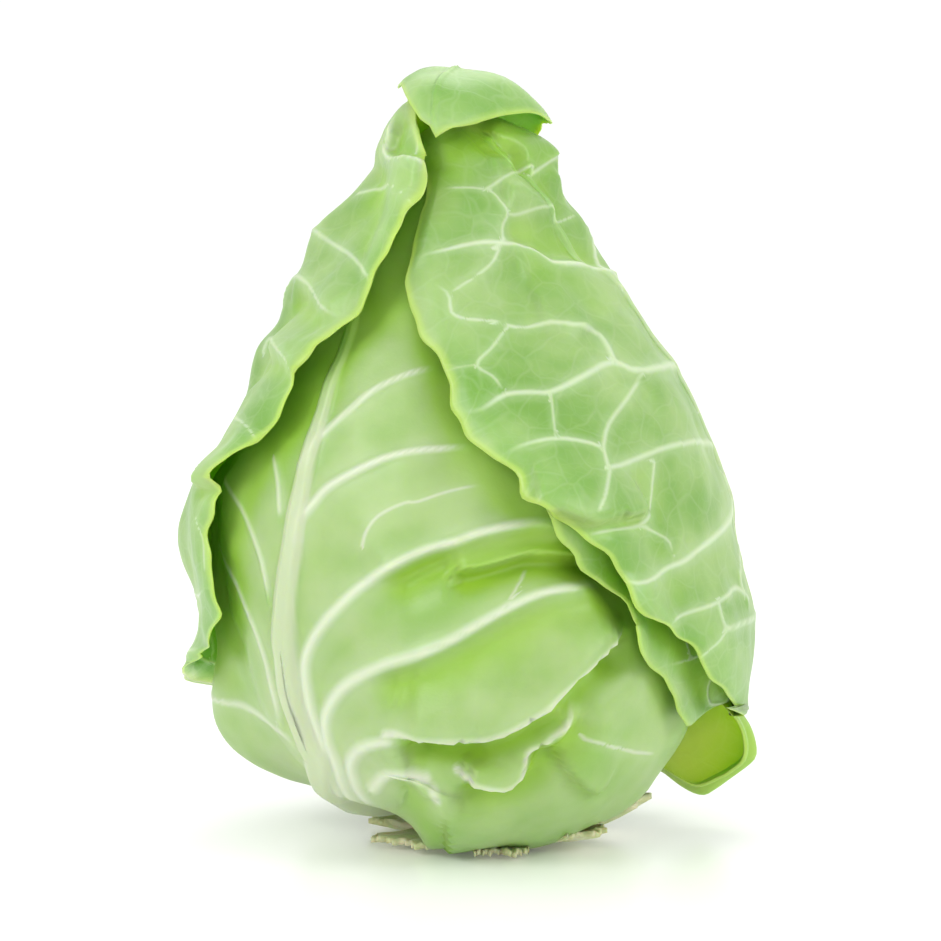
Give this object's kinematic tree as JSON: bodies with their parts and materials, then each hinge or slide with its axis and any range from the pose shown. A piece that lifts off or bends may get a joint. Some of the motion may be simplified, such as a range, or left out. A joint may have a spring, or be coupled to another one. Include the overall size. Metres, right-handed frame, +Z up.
{
  "type": "pointed_cabbage",
  "caption": "Pointed sweetheart cabbage standing on its cut stem, with wrapped ribbed outer leaves over a packed heart",
  "frame": {"origin": "centre of the cut face of the stem, which the cabbage stands on", "axes": "+Z up from the cut stem to the tip, -Y toward the broad ribbed front leaf, +X toward the right outer leaf"},
  "size_m": [0.1676, 0.1587, 0.2237],
  "materials": {
    "stem": "matt cut stem, cream green",
    "bases": "satin, cream to yellow green with browned cuts",
    "heart": "satin, pale yellow green",
    "inner_leaf": "satin, waxy light green",
    "front_leaf": "satin, waxy light green with white ribs",
    "outer_leaf": "satin, waxy green with pale ribs"
  },
  "bodies": {
    "root": {"stump": "stem", "heart": "heart", "inner_leaf_left": "inner_leaf", "inner_leaf_right": "inner_leaf", "inner_leaf_back": "inner_leaf", "front_leaf": "front_leaf", "lobed_leaf": "outer_leaf", "under_leaf": "outer_leaf", "right_leaf": "outer_leaf", "left_leaf": "outer_leaf", "cap_leaf": "outer_leaf", "trimmed_base_1": "bases", "trimmed_base_2": "bases", "trimmed_base_3": "bases", "trimmed_base_4": "bases", "trimmed_base_5": "bases", "trimmed_base_6": "bases", "trimmed_base_7": "bases"}
  },
  "joints": []
}
